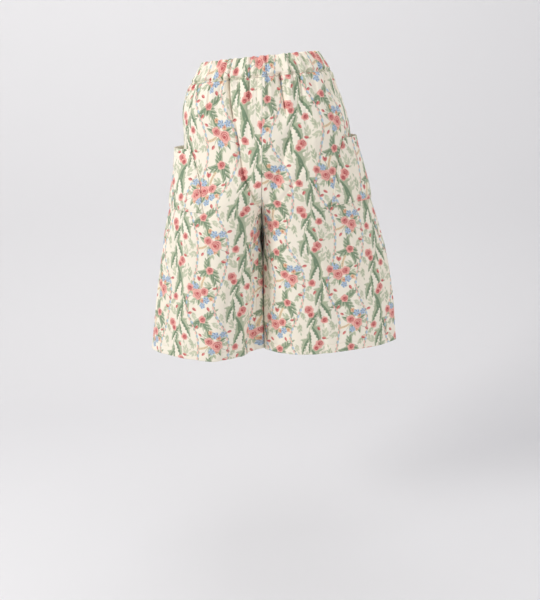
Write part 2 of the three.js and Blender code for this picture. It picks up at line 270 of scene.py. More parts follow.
def through(xs, ys, x):
    """A cubic curve through points, with at each the slope of the line between its neighbours."""
    xs, ys = np.asarray(xs, float), np.asarray(ys, float)
    last = len(xs) - 1
    before, after = np.maximum(np.arange(last + 1) - 1, 0), np.minimum(np.arange(last + 1) + 1, last)
    slope = (ys[after] - ys[before]) / (xs[after] - xs[before])
    x = np.clip(x, xs[0], xs[-1])
    i = np.clip(np.searchsorted(xs, x) - 1, 0, last - 1)
    step = xs[i + 1] - xs[i]
    t = (x - xs[i]) / step
    ease = t * t * (3.0 - 2.0 * t)
    bow = slope[i] * t * (1.0 - t) ** 2 - slope[i + 1] * t * t * (1.0 - t)
    return ys[i] * (1.0 - ease) + ys[i + 1] * ease + step * bow


def side_name(panel):
    """The wearer's side that a panel is on."""
    return "Left" if panel.endswith("Left") else "Right"


def side_of(panel):
    """The sign of x on a panel's side."""
    return 1.0 if side_name(panel) == "Left" else -1.0


def face_of(panel):
    """The sign of y on a panel's face: the front faces -y."""
    return -1.0 if panel.startswith("front") else 1.0


def plain_sections(panel, drops):
    """Half of a squared oval round the leg at each drop, cut where it meets the other leg:
    x = middle + reach |cos a|^(2/p) and y = depth (sin a)^(2/p), from the inner leg outwards."""
    side, face = side_of(panel), face_of(panel)
    inner_end, outer_end, deepest = HEM_SHAPE[panel]
    parting = eased(drops, FORK_TOP, CROTCH - FORK_TOP)
    centre = through(FORM["drop"], FORM["centre"], drops)
    reach = through(FORM["drop"], FORM[side_name(panel)], drops) - side * centre
    depth = through(FORM["drop"], FORM[panel], drops)
    middle = parting * deepest * reach
    inner_half = reach * (1.0 - parting * (1.0 - deepest))
    to_hem = eased(drops, INNER_EASES, LENGTH - INNER_EASES)
    inner_power = CROTCH_SQUARE + (inner_end - CROTCH_SQUARE) * to_hem
    outer_power = SEAT_SQUARE + (outer_end - SEAT_SQUARE) * eased(drops, OUTER_EASES, OUTER_RUN)
    slit = np.where(drops > CROTCH, through(SLIT_DROP, SLIT_HALF, drops), SEAM_HALF)
    start = np.arccos(np.minimum(1.0, middle / inner_half))
    share = (1.0 - np.cos(np.linspace(0.0, np.pi, SECTION_POINTS))) / 2.0
    angle = start[:, None] + (np.pi - start)[:, None] * share
    inside = angle < np.pi / 2
    power = np.where(inside, inner_power[:, None], outer_power[:, None])
    half = np.where(inside, -inner_half[:, None], (reach - middle)[:, None])
    x = middle[:, None] + half * np.abs(np.cos(angle)) ** (2.0 / power)
    y = depth[:, None] * np.maximum(0.0, np.sin(angle)) ** (2.0 / power)
    return centre[:, None] + side * np.maximum(slit[:, None], x), face * np.maximum(y, SEAM_HALF)


def measured_sections(panel, drops):
    """The plain sections and the length along them from their inner end."""
    x, y = plain_sections(panel, drops)
    step = np.hypot(np.diff(x), np.diff(y))
    return x, y, np.concatenate([np.zeros((len(drops), 1)), step.cumsum(1)], 1)


def even_sections(panel, drops, across):
    """The sections' points from the centre or inner seam to the side seam, their whole lengths,
    and how far along each point lies as a share. Where the leg parts from the other its sections
    lengthen fast; only the inmost points follow that, t (base + (whole - base) t^4) from the side.
    The centre seams of the two sides are eased onto one line."""
    x, y, length = measured_sections(panel, drops)
    whole = length[:, -1:]
    ends = np.array([PARTING_TOP, PARTING_TOP + PARTING_RUN])
    above, below = measured_sections(panel, ends)[2][:, -1]
    parting = ((drops > ends[0]) & (drops < ends[1]))[:, None]
    gone = eased(drops[:, None], PARTING_TOP, PARTING_RUN)
    base = np.where(parting, above + (below - above) * gone, whole)
    t = 1.0 - across
    share = 1.0 - t * (base + (whole - base) * t**4) / whole
    row = np.arange(len(drops))[:, None]
    # Each row starts a step further on, so that one interpolation serves them all.
    known, wanted = row + length / whole * (1.0 - 1e-9), row + share * (1.0 - 1e-9)
    even_x, even_y = (np.interp(wanted, known.ravel(), v.ravel()) for v in (x, y))
    other = panel.replace(side_name(panel), "Left" if side_name(panel) == "Right" else "Right")
    apart = (plain_sections(other, drops)[1][:, :1] - y[:, :1]) * (drops <= CROTCH)[:, None]
    return even_x, even_y + apart / 2.0 * np.exp(-((share * whole / 90.0) ** 2)), whole, share


def height(x, drop):
    """How high a point stands; the waist is tilted, and the tilt dies away down the hips."""
    return -drop + x * np.tan(WAIST_TILT) * (1.0 - smooth(drop / TILT_ENDS))


def turn_of(panel, across):
    """Where round the body a point lies, as a share of a turn from the centre front."""
    return side_of(panel) * (across / 4.0 if face_of(panel) < 0 else 0.5 - across / 4.0)


def gather_wave(turn, count):
    """A wave round the waist whose length and strength wander, from -1 to 1."""
    a = 2.0 * np.pi * turn
    phase = count * a + 0.9 * np.sin(3.0 * a + 1.0) + 0.7 * np.sin(7.0 * a + 2.0)
    return np.sin(phase) * (0.78 + 0.22 * np.sin(5.0 * a + 0.5))


def puffs(turn):
    """The gathers at the casing: round puffs between narrow valleys, |sin(phase / 2)|^0.75, with
    uneven widths, and finer ones on their backs. It is 0 in a valley and 1 on a puff."""
    a = 2.0 * np.pi * turn
    wander = 0.9 * np.sin(3.0 * a + 1.0) + 0.7 * np.sin(7.0 * a + 2.0)
    wander = wander + 1.5 * np.sin(11.0 * a + 0.3) + 0.9 * np.sin(19.0 * a + 4.0)
    large = np.abs(np.sin((38.0 * a + wander) / 2.0 + np.pi / 4.0)) ** 0.75
    small = np.abs(np.sin((92.0 * a + 3.0 * wander) / 2.0 + np.pi / 4.0))
    return large * (0.8 + 0.2 * small)


NOISE_CELLS = 64
chance_heights = np.random.default_rng(11).uniform(-1.0, 1.0, (NOISE_CELLS, NOISE_CELLS))


def blended(at, i, j, a, b):
    """The blend of the four cells of a table round a place, by its shares a and b of a cell."""
    near, far = (at(i, k) * (1 - a) + at(i + 1, k) * a for k in (j, j + 1))
    return near * (1 - b) + far * b


def soft_noise(u, v):
    """Smooth hills and hollows, about one to a unit: an eased blend of a table of chance heights."""
    i, j = np.floor(u).astype(int), np.floor(v).astype(int)

    def at(i, j):
        return chance_heights[i % NOISE_CELLS, j % NOISE_CELLS]

    return blended(at, i, j, smooth(u - i), smooth(v - j))


def folds_of(rows, across, drops, whole, steep=1.0):
    """The sum of folds, each a soft ridge or trough exp(-away^2) that eases in and out. One side
    can be steeper than the other, as where cloth begins to lap over."""
    depth = np.zeros(np.broadcast(across, drops).shape)
    for top, top_drop, end, end_drop, wide, deep in rows:
        run = (drops - top_drop) / (end_drop - top_drop)
        away = (across - (top + (end - top) * run)) * whole / wide
        away = np.where(away > 0.0, steep * away, away)
        depth = depth + deep * np.exp(-away * away) * smooth(run / 0.2) * smooth((1.0 - run) / 0.25)
    return depth


def main_depth(panel, across, drops, whole):
    """How far the large folds and gathers move the cloth out of its plain form."""
    gathers = GATHER_DEPTH * (1.0 - eased(drops, GATHERS_FADE, FADE_RUN))
    seam_ease = smooth(across / 0.05) * smooth((1.0 - across) / 0.06)
    folds = folds_of(FOLDS[panel], across, drops, whole) * seam_ease
    return gathers * gather_wave(turn_of(panel, across), GATHER_COUNT) + folds


def rumples(panel, u, v):
    """Three sizes of soft noise, the larger two leaning across the cloth."""
    large, middling, small = RELIEF["rumples"]
    chance = 7.0 * side_of(panel) + 13.0 * face_of(panel)
    lean = u + 0.3 * v
    broad = large * soft_noise(lean / 46.0 + chance, v / 90.0 + chance)
    narrow = middling * soft_noise(lean / 17.0 + chance, v / 38.0)
    return broad + narrow + small * soft_noise(u / 7.0, v / 11.0)


def under_pocket(panel, to_side, drops):
    """1 where a pocket lies over the leg and 0 away from it, eased at its edges."""
    from_mouth = drops - POCKET_MOUTH[side_name(panel)]
    beside = smooth((POCKET_REACH - to_side) / 12.0) * eased(from_mouth, -12.0, 10.0)
    return beside * smooth((POCKET_HEIGHT + 12.0 - from_mouth) / 10.0)


def fine_depth(panel, across, drops, whole):
    """The small relief: gathers that run out of the casing's stitching, creases, faint rumples
    that a pocket flattens, puckered seams, the groove into the fork, and the stitched hem."""
    turn, below = turn_of(panel, across), drops - CASING_DEPTH
    u, v, to_side = across * whole, drops, (1.0 - across) * whole
    a = 2.0 * np.pi * turn
    run_out = 48.0 + 24.0 * np.sin(9.0 * a + 2.0) + 14.0 * np.sin(23.0 * a)
    depth = -RELIEF["gathers"] * (1.0 - puffs(turn)) * np.exp(-below / run_out)
    depth = depth + RELIEF["ridge"] * np.exp(-below / 12.0) * smooth(below / 5.0)
    seam_ease = smooth(across / 0.03) * smooth((1.0 - across) / 0.03)
    depth = depth + folds_of(CREASES[panel], across, drops, whole, steep=2.0) * seam_ease
    flattened = 1.0 - 0.75 * under_pocket(panel, to_side, drops)
    depth = depth + rumples(panel, u, v) * seam_ease * flattened
    pucker = 1.0 + 0.35 * np.sin(v / 4.2 + 2.0 * np.sin(v / 31.0))
    depth = depth - RELIEF["seam"] * np.exp(-((np.minimum(u, to_side) / 2.4) ** 2)) * pucker
    if face_of(panel) < 0:
        into_fork = eased(drops, 288.0, 18.0) * smooth((332.0 - drops) / 12.0)
        depth = depth - RELIEF["fork"] * np.exp(-((u / 4.0) ** 2)) * into_fork
    to_stitch = LENGTH - HEM_TURN - v
    ripple = 1.0 + 0.5 * np.sin(u / 3.4 + 2.0 * np.sin(u / 23.0))
    depth = depth - RELIEF["stitches"] * np.exp(-((to_stitch / 2.0) ** 2)) * ripple
    return depth + RELIEF["hem"] * smooth(-to_stitch / 3.0)


def flat_width(drops):
    """The cut width of a panel from its centre line to its side seam: straight, then flared."""
    return CUT_WIDTH + FLARE * np.maximum(drops - HIP_DROP, 0.0)


def meeting(face, beside, beyond, down):
    """How far the legs are drawn together, from 0 to 1: near the slit, in a band just behind the
    inner seams below the fork, and lower down in a band before them too."""
    if face > 0:
        band = eased(beyond, 2.0, 12.0) * (1.0 - eased(beyond, 26.0, 30.0))
        return band * (1.0 - eased(beside, 6.0, 14.0)) * eased(down, CROTCH, 6.0)
    band = 1.0 - eased(beyond, 30.0, 26.0)
    return band * (1.0 - eased(beside, 12.0, 16.0)) * eased(down, 380.0, 70.0)


def level_out(panel, drops, x, y):
    """The level directions square to a panel's sections, kept in the seams' planes at its edges."""
    side, face = side_of(panel), face_of(panel)
    out_x, out_y = -np.gradient(y, axis=1) * side * face, np.gradient(x, axis=1) * side * face
    size = np.maximum(np.hypot(out_x, out_y), 1e-9)
    out_x, out_y = out_x / size, out_y / size
    out_x[:, -1], out_y[:, -1] = side, 0.0
    out_x[:, 0], out_y[:, 0] = 0.0, np.where(drops < CROTCH, face, 0.0)
    return out_x, out_y


def leg_surface(panel, drops, across, fine):
    """A panel's outer surface: level sections one under another, moved in and out by its folds.
    The second result is each point's place on the flat cloth, the third its small relief. The
    slit between the legs is open in front near the fork. The legs touch behind their inner seams,
    and lower down in front of them too."""
    side, face = side_of(panel), face_of(panel)
    x, y, whole, share = even_sections(panel, drops, across)
    down = drops[:, None]
    out_x, out_y = level_out(panel, drops, x, y)
    relief = fine_depth(panel, share, down, whole) if fine else 0.0 * x
    depth = main_depth(panel, share, down, whole) + relief
    x, y = x + out_x * depth, y + out_y * depth
    centre = through(FORM["drop"], FORM["centre"], drops)[:, None]
    beside = np.maximum(side * (x - centre), TOUCH)
    drawn = beside + (TOUCH - beside) * meeting(face, beside, face * y, down)
    x = np.where(down > CROTCH, centre + side * drawn, x)
    points = np.stack([x, y, height(x, down)], -1)
    above_hip = 1.0 - eased(down, HIP_DROP / 2.0, HIP_DROP / 2.0)
    gathered = whole + (flat_width(down) - whole) * above_hip
    flat_across = (flat_width(down) - (1.0 - share) * gathered) * side * -face
    fall = np.linalg.norm(np.diff(points[:, -1], axis=0), axis=1)
    flat_down = drops[0] + np.concatenate([[0.0], np.cumsum(fall)])[:, None]
    return points, np.stack(np.broadcast_arrays(flat_across, flat_down), -1), relief


def unit(out):
    """Directions brought to a length of one."""
    return out / np.maximum(np.linalg.norm(out, axis=2, keepdims=True), 1e-9)


def square_out(points, turn):
    """The directions square to a grid of points."""
    return unit(np.cross(np.gradient(points, axis=1), np.gradient(points, axis=0)) * turn)


def panel_out(panel, drops, points):
    """A panel's outward directions, kept in the seams' planes at its edges and level at its ends."""
    out = square_out(points, side_of(panel) * face_of(panel))
    out[drops < CROTCH, 0, 0] = 0.0
    out[drops == CROTCH, 0] = (0.0, 0.0, -1.0)
    out[drops > CROTCH, 0] = (-side_of(panel), 0.0, 0.0)
    out[:, -1, 1] = 0.0
    out[[0, -1], :, 2] = 0.0
    return unit(out)


# The inner side of the cloth keeps every fourth row and column of the outer side.
COARSE = 4


def lowest_near(relief):
    """The lowest relief within four rows and columns, at every fourth row and column."""
    padded = np.pad(relief, COARSE, mode="edge")
    windows = np.lib.stride_tricks.sliding_window_view(padded, (2 * COARSE + 1, 2 * COARSE + 1))
    return windows[::COARSE, ::COARSE].min((2, 3))


def cloth_shell(name, outer, inner, ring=False):
    """A closed shell: a fine grid outside, a grid of every fourth row and column inside, and
    strips of triangles that join their edges. A ring joins its last column to its first. A shell
    whose signed volume, the sum of a . (b x c), is below zero is turned to face outwards."""
    fine = np.arange(outer[..., 0].size).reshape(outer.shape[:2])
    few = fine.size + np.arange(inner[..., 0].size).reshape(inner.shape[:2])
    if ring:
        fine, few = np.hstack([fine, fine[:, :1]]), np.hstack([few, few[:, :1]])
    edges = [(fine[0], few[0], 1), (fine[-1], few[-1], -1)]
    if not ring:
        edges += [(fine[:, 0], few[:, 0], -1), (fine[:, -1], few[:, -1], 1)]
    rims = []
    for long, short, way in edges:
        fan = np.stack([long[:-1], long[1:], np.repeat(short[:-1], COARSE)], -1)
        step = np.stack([short[:-1], long[COARSE::COARSE], short[1:]], -1)
        rims.append(np.concatenate([fan, step])[:, ::way])
    rims = np.concatenate(rims)
    quads = np.concatenate([quads_of(fine), quads_of(few)[:, ::-1]])
    points = np.concatenate([outer.reshape(-1, 3), inner.reshape(-1, 3)])
    triangles = np.concatenate([quads[:, :3], quads[:, [0, 2, 3]], rims])
    a, b, c = (points[triangles[:, k]] for k in range(3))
    if np.einsum("ij,ij", a, np.cross(b, c)) < 0:
        quads, rims = quads[:, ::-1], rims[:, ::-1]
    corners = np.concatenate([quads.ravel(), rims.ravel()])
    starts = np.concatenate([4 * np.arange(len(quads)), 4 * len(quads) + 3 * np.arange(len(rims))])
    mesh = bpy.data.meshes.new(name)
    mesh.vertices.add(len(points))
    mesh.vertices.foreach_set("co", (points / 1000.0).astype(np.float32).ravel())
    mesh.loops.add(len(corners))
    mesh.loops.foreach_set("vertex_index", corners.astype(np.int32))
    mesh.polygons.add(len(starts))
    mesh.polygons.foreach_set("loop_start", starts.astype(np.int32))
    reverse_side = np.zeros(len(starts), np.int32)
    reverse_side[len(quads_of(fine)) : len(quads)] = 1
    mesh.polygons.foreach_set("material_index", reverse_side)
    mesh.update(calc_edges=True)
    mesh.shade_smooth()
    piece = bpy.data.objects.new(name, mesh)
    scene.collection.objects.link(piece)
    return piece


def give_points(mesh, name, values):
    """Stores three numbers at every vertex of a mesh."""
    attribute = mesh.attributes.new(name, "FLOAT_VECTOR", "POINT")
    attribute.data.foreach_set("vector", np.ascontiguousarray(values, np.float32).ravel())


# The print is a half-drop repeat: wandering bands of posies and of scrolling leaves, with
# garlands between. Each ink is a signed distance, in millimetres and positive inside.
PRINT_GRAIN, STEP_ACROSS, REPEAT_DOWN, BAND_SWING = 0.5, 150.0, 232.0, 15.0
COLUMNS, ROWS = int(STEP_ACROSS / PRINT_GRAIN), int(REPEAT_DOWN / PRINT_GRAIN)
STEP_ROWS = ROWS // 2
# The middle of each band, from side to side of the repeat.
GARLANDS, POSIES, VINES = (0.0, 68.0), 34.0, 109.0
INKS = {
    "pale sage": (196, 201, 174),
    "sage": (168, 180, 150),
    "dark green": (110, 136, 108),
    "tan": (226, 194, 146),
    "coral": (222, 124, 118),
    "petal pink": (244, 190, 178),
    "deep red": (176, 60, 70),
    "light blue": (172, 198, 224),
    "slate blue": (118, 138, 164),
}
BARE = -9.0
ink = {name: np.full((COLUMNS, ROWS), BARE) for name in INKS}


def about(place, turn, reach):
    """The cells of the repeat within reach of a motif's place, and how they lie seen from it.
    Cells past the repeat's side belong to the next copy, which sits a step lower."""
    low, high = ([int((p + way * reach) // PRINT_GRAIN) for p in place] for way in (-1, 1))
    i, j = np.arange(low[0], high[0] + 2)[:, None], np.arange(low[1], high[1] + 2)[None, :]
    x, y = i * PRINT_GRAIN - place[0], j * PRINT_GRAIN - place[1]
    cells = (i % COLUMNS, (j - STEP_ROWS * (i // COLUMNS)) % ROWS)
    return cells, x * np.cos(turn) + y * np.sin(turn), y * np.cos(turn) - x * np.sin(turn)


def paint(cells, name, inside):
    """Adds a shape to an ink, whose distance becomes the larger of the two."""
    ink[name][cells] = np.maximum(ink[name][cells], inside)


def cover(cells, inside, names=tuple(INKS)):
    """Keeps what was drawn before from showing under a motif."""
    for name in names:
        ink[name][cells] = np.minimum(ink[name][cells], -inside)


def leaf(place, turn, length, width, bend, body, shade=None, teeth=0):
    """A leaf along a bent midrib: half width w sin(pi u^0.8)^0.8, toothed if asked, with one half
    in a darker ink."""
    cells, u, v = about(place, turn, length + 3.0)
    share = np.clip(u / length, 0.0, 1.0)
    v = v - bend * length * share**2
    half = width / 2 * np.sin(np.pi * share**0.8) ** 0.8
    if teeth:
        half = half * (0.6 + 0.62 * (1.0 - (teeth * share) % 1.0))
    inside = np.minimum(half - np.abs(v), np.minimum(u, length - u) + 0.6)
    paint(cells, body, inside)
    if shade:
        paint(cells, shade, np.minimum(inside - 0.1, v * np.sign(bend or 1.0) - 0.3))


def stem(start, end, bow, half, name):
    """A bowed line from start to end, thinner towards its end."""
    start, end = np.array(start, float), np.array(end, float)
    length = np.hypot(*(end - start))
    cells, u, v = about(start, np.arctan2(*(end - start)[::-1]), length + 3.0)
    share = np.clip(u / length, 0.0, 1.0)
    v = v - bow * 4.0 * share * (1.0 - share)
    inside = half * (1.0 - 0.4 * share) - np.abs(v)
    paint(cells, name, np.minimum(inside, np.minimum(u, length - u) + 1.0))


def rose(place, size, turn):
    """An open rose: pale petals parted by slanting lines, coral between, a deep spiral heart."""
    cells, u, v = about(place, turn, 1.15 * size)
    r, a = np.hypot(u, v), np.arctan2(v, u)
    disk = size * (0.92 + 0.09 * np.cos(5.0 * a + np.sin(2.0 * a))) - r
    cover(cells, disk)
    paint(cells, "coral", disk)
    for low, high, petals, slant in ((0.6, 1.1, 2.5, 2.2), (0.3, 0.5, 1.5, 3.5)):
        parted = np.abs(np.sin(petals * a + slant * r / size)) * 0.4 * size - 0.9
        ring = np.minimum(r - (low + 0.1 * np.sin(a)) * size, (high + 0.08 * np.sin(a)) * size - r)
        paint(cells, "petal pink", np.minimum(np.minimum(ring, parted), disk - 0.3))
    arm = 0.3 * size
    spiral = np.abs((r - arm * a / (2.0 * np.pi)) % arm - arm / 2)
    paint(cells, "deep red", np.minimum(0.9 - spiral, (0.62 - 0.14 * np.sin(a)) * size - r))
    paint(cells, "deep red", 0.13 * size - r)


def bud(place, turn, size):
    """A closed bud in its green cup."""
    leaf(place, turn, 1.9 * size, 1.0 * size, 0.0, "coral", "deep red")
    leaf(place, turn + 0.3, 1.3 * size, 0.4 * size, 0.15, "petal pink")
    leaf(place, turn + 0.6, 1.0 * size, 0.4 * size, -0.3, "sage")
    leaf(place, turn - 0.6, 1.0 * size, 0.4 * size, 0.3, "dark green")


def small_flower(place, size, turn, petals, rims, heart):
    """Five round petals, each with a darker half, round a dot."""
    cells, u, v = about(place, turn, 1.1 * size)
    for k in range(5):
        b = 2.0 * np.pi * k / 5
        along, across = u * np.cos(b) + v * np.sin(b), v * np.cos(b) - u * np.sin(b)
        petal = 0.4 * size - np.hypot(0.85 * (along - 0.58 * size), across)
        cover(cells, petal, ("pale sage", "sage", "dark green"))
        paint(cells, petals, petal)
        paint(cells, rims, np.minimum(petal, across - 0.1 * size))
    paint(cells, heart, 0.26 * size - np.hypot(u, v))


def along_bow(place, turn, length, bend, share):
    """A point along a bowed line and its heading there."""
    heading = np.array([np.cos(turn), np.sin(turn)])
    aside = np.array([-heading[1], heading[0]])
    point = np.array(place) + length * (share * heading + bend * share**2 * aside)
    return point, turn + 2.0 * bend * share


def spray(place, turn, length, pairs, bend, body, shade=None):
    """A bowed stem with leaves in pairs that shorten towards its tip."""
    for k in range(4):
        start, end = (along_bow(place, turn, length, bend, s)[0] for s in (k / 4, (k + 1) / 4))
        stem(start, end, 0.0, 0.8, shade or body)
    for k in range(pairs):
        for way in (-1.0, 1.0):
            spot, lean = along_bow(place, turn, length, bend, 0.16 + 0.78 * k / pairs + 0.05 * way)
            size = length * (0.52 - 0.2 * k / pairs)
            leaf(spot, lean + way * 0.7, size, 0.4 * size, -0.25 * way, body, shade)
    spot, lean = along_bow(place, turn, length, bend, 1.0)
    leaf(spot, lean, 0.34 * length, 0.13 * length, 0.0, body, shade)


def ear(place, turn, length, bend):
    """An ear of grains in pairs along a bowed line."""
    for k in range(7):
        spot, lean = along_bow(place, turn, length, bend, k / 7.0)
        for way in (-1.0, 1.0):
            leaf(spot, lean + 0.6 * way, 0.22 * length, 0.1 * length, -0.2 * way, "tan")
        leaf(spot, lean, 0.1 * length, 0.07 * length, 0.0, "slate blue")


def in_band(band, down, aside=0.0):
    """A place in a band: the bands wander from side to side as they run down the cloth."""
    a = 2.0 * np.pi * down / REPEAT_DOWN
    return (band + BAND_SWING * np.sin(a) + 3.0 * np.sin(2.0 * a + 1.0) + aside, down)


def garland(band):
    """Small leaves in pink, green and pale blue along a thin blue line."""
    beads = 30
    for k in range(beads):
        line, left_ink, right_ink = "slate blue", "petal pink", "sage"
        if k % 2 == 0:
            line, left_ink, right_ink = "light blue", "sage", "light blue" if k % 3 else "petal pink"
        start = np.array(in_band(band, k * REPEAT_DOWN / beads))
        end = np.array(in_band(band, (k + 1) * REPEAT_DOWN / beads))
        turn = np.arctan2(*(end - start)[::-1])
        stem(start, end, 1.2 * (-1) ** k, 0.55, line)
        leaf(start, turn + 0.5, 8.5, 4.0, -0.3, left_ink)
        leaf(start, turn - 0.5, 8.5, 3.6, 0.3, right_ink)


def scrolling_vine(band):
    """Toothed leaves that scroll to both sides of a stem that winds down the cloth."""
    steps = 24
    for k in range(steps):
        ends = (k * REPEAT_DOWN / steps, (k + 1) * REPEAT_DOWN / steps)
        here, there = (in_band(band, down, 3.0 * np.sin(down / 9.0)) for down in ends)
        stem(here, there, 0.0, 1.2, "sage")
    for k, down in enumerate((6, 38, 62, 98, 120, 152, 180, 208)):
        way = 1.0 if k % 2 else -1.0
        length = 43.0 + 5.0 * np.sin(3.0 * k)
        turn = np.pi / 2 - way * (0.95 + 0.15 * np.sin(5.0 * k))
        for below, lean, long, wide, bend, body, shade, teeth in (
            (0, 0.0, 1.0, 0.36, 0.55, "sage", "dark green", 6),
            (13, 1.25, 0.62, 0.25, -0.5, "sage", "dark green", 4),
            (7, -1.2, 0.5, 0.2, 0.3, "pale sage", "sage", 0),
        ):
            spot, heading = in_band(band, down + below), turn + way * lean
            leaf(spot, heading, long * length, wide * length, way * bend, body, shade, teeth)


def posy(band, down, aside, turn):
    """Two roses, blue flowers, ochre flowers, buds and leaves gathered at one spot."""
    middle = np.array(in_band(band, down, aside))

    def around(angle, away):
        return middle + away * np.array([np.cos(turn + angle), np.sin(turn + angle)])

    for k, (away, length) in enumerate(((7, 27), (8, 24), (7, 26), (8, 27), (7, 23))):
        angle, bend = 0.5 + 1.2 * k, 0.3 * (-1) ** k
        leaf(around(angle, away), turn + angle, length, 0.4 * length, bend, "sage", "dark green")
    for angle, away, length in ((1.1, 10, 30), (3.5, 9, 27), (5.9, 10, 28)):
        spray(around(angle, away), turn + angle, length, 2, 0.25, "pale sage", "sage")
    ear(around(2.3, 13), turn + 2.1, 27, 0.35)
    for angle, away, size in ((4.5, 20, 8.2), (5.1, 28, 7.6), (1.4, 20, 7.6)):
        small_flower(around(angle, away), size, turn + away, "light blue", "slate blue", "tan")
    for angle, away, size in ((5.0, 17, 6.4), (4.1, 27, 5.6), (0.9, 20, 6.0)):
        small_flower(around(angle, away), size, turn + away, "tan", "coral", "deep red")
    for angle, away, size in ((0.2, 33, 5.5), (1.9, 30, 6.0), (3.3, 31, 5.5)):
        stem(around(angle, 8), around(angle, away), 2.0, 0.9, "dark green")
        bud(around(angle, away), turn + angle, size)
    rose(around(0.3, 9), 13.5, turn)
    rose(around(3.2, 11), 10.5, turn + 2.0)


def draw_print():
    """Bands of posies and of scrolling leaves between garlands, then small sprays, drawn at random
    wherever the ground is still open."""
    chance = np.random.default_rng(8)
    for band in GARLANDS:
        garland(band)
    scrolling_vine(VINES)
    posy(POSIES, 34, 2, 0.4)
    posy(POSIES, 150, -3, 2.6)
    for down, aside, turn, length in (
        (88, -4, 0.9, 44),
        (94, 8, 2.6, 38),
        (204, 6, 2.2, 44),
        (210, -8, 0.6, 38),
        (100, 0, 4.4, 34),
        (216, 0, 5.2, 34),
    ):
        spray(in_band(POSIES, down, aside), turn, length, 3, 0.25, "sage", "dark green")
    rose(in_band(POSIES, 96, 1), 9.5, 0.8)
    rose(in_band(POSIES, 210, -1), 9.5, 2.1)
    vine_roses = ((22, 22, 9.5), (50, -24, 9), (112, -23, 11), (124, -14, 8), (140, 24, 9))
    for down, aside, size in vine_roses + ((196, 22, 11), (204, 12, 8)):
        rose(in_band(VINES, down, aside), size, down)
    vine_buds = ((68, -14, 2.2), (8, -26, 2.9), (70, 28, 0.6), (182, 30, 0.2), (154, 14, 1.0))
    posy_buds = ((74, 22, 0.4), (196, -22, 2.8), (112, -18, 2.0), (180, 20, 1.1), (226, -20, 2.4))
    for band, buds in ((VINES, vine_buds), (POSIES, posy_buds)):
        for down, aside, turn in buds:
            bud(in_band(band, down, aside), turn, 6.2)
    grid = np.meshgrid(np.arange(4.0, STEP_ACROSS, 6.5), np.arange(4.0, REPEAT_DOWN, 7.0))
    spots = np.stack(grid, -1).reshape(-1, 2)
    for spot in spots + chance.uniform(-3.5, 3.5, spots.shape):
        turn, size = chance.uniform(0.0, 2.0 * np.pi), chance.uniform(19.0, 32.0)
        heading = np.array([np.cos(turn), np.sin(turn)])
        cells, u, v = about(spot + 0.55 * size * heading, 0.0, 0.4 * size)
        near = np.hypot(u, v) < 0.33 * size
        if max(layer[cells][near].max() for layer in ink.values()) < 0.9:
            bend = chance.uniform(-0.4, 0.4)
            shade = "sage" if chance.uniform() < 0.6 else None
            spray(spot, turn, size, 2, bend, "pale sage", shade)


draw_print()


def inks_at(flat):
    """The inks' distances at places on the flat cloth, blended between the repeat's cells."""
    layers = np.stack([np.clip(layer, -3.0, 3.0) for layer in ink.values()], -1)
    u, v = flat[..., 0] / PRINT_GRAIN, flat[..., 1] / PRINT_GRAIN
    i, j = np.floor(u).astype(int), np.floor(v).astype(int)

    def at(i, j):
        return layers[i % COLUMNS, (j - STEP_ROWS * (i // COLUMNS)) % ROWS]

    return blended(at, i, j, (u - i)[..., None], (v - j)[..., None])


def linear(colour):
    """A colour from 0 to 255, as seen on a screen, in linear light."""
    c = np.array(colour) / 255.0
    return tuple(np.where(c < 0.04045, c / 12.92, ((c + 0.055) / 1.055) ** 2.4)) + (1.0,)


def wire(tree, kind, *inputs, **settings):
    """Adds a node. Its inputs are given in order: a socket is linked, a value set, None left."""
    node = tree.nodes.new(kind)
    for name, value in settings.items():
        setattr(node, name, value)
    for socket, value in zip(node.inputs, inputs):
        if isinstance(value, bpy.types.NodeSocket):
            tree.links.new(value, socket)
        elif value is not None:
            socket.default_value = value
    return node


def maths(tree, operation, *values):
    """The output of one step of arithmetic on sockets and numbers."""
    return wire(tree, "ShaderNodeMath", *values, operation=operation).outputs[0]


def linked(tree, kind, *inputs):
    """Adds a node and gives its first output."""
    return wire(tree, kind, *inputs).outputs[0]


CREAM, CREAM_WARM, REVERSE, THREAD = (247, 241, 228), (245, 235, 216), (238, 231, 218), (226, 214, 190)
ROUGHNESS, GLAZE, BLOOM, BLOOM_ROUGHNESS = 0.78, 0.28, 0.12, 0.5
INK_PARTS, BUMP_STRENGTH = ("inks_a", "inks_b", "inks_c"), 0.6
# In metres: the weave's pitch and height, a stitch's length and height, its half width without
# and with its soft edge, and the groove that it draws into the cloth.
THREAD_PITCH, WEAVE_HEIGHT = 0.0007, 0.00003
STITCH, STITCH_HEIGHT, STITCH_HALF, STITCH_EDGE = 0.0032, 0.0004, 0.00022, 0.00042
GROOVE_HALF, GROOVE_DEPTH = 0.0016, 0.00025


def weave_of(tree, place):
    """The height of a plain weave: threads over and under each other, sin(u) sin(v)."""
    split = wire(tree, "ShaderNodeSeparateXYZ", place).outputs
    turns = 2.0 * np.pi / THREAD_PITCH
    u, v = (maths(tree, "SINE", maths(tree, "MULTIPLY", split[k], turns)) for k in range(2))
    return maths(tree, "MULTIPLY", maths(tree, "MULTIPLY", u, v), WEAVE_HEIGHT)


def finish_cotton(tree, shader, colour, relief):
    """Matt cotton with a slight glaze and a soft bloom at grazing angles."""
    bump = wire(tree, "ShaderNodeBump", BUMP_STRENGTH, 1.0)
    tree.links.new(relief, bump.inputs["Height"])
    tree.links.new(bump.outputs[0], shader.inputs["Normal"])
    tree.links.new(colour, shader.inputs["Base Color"])
    shader.inputs["Roughness"].default_value = ROUGHNESS
    shader.inputs["Specular IOR Level"].default_value = GLAZE
    shader.inputs["Sheen Weight"].default_value = BLOOM
    shader.inputs["Sheen Roughness"].default_value = BLOOM_ROUGHNESS


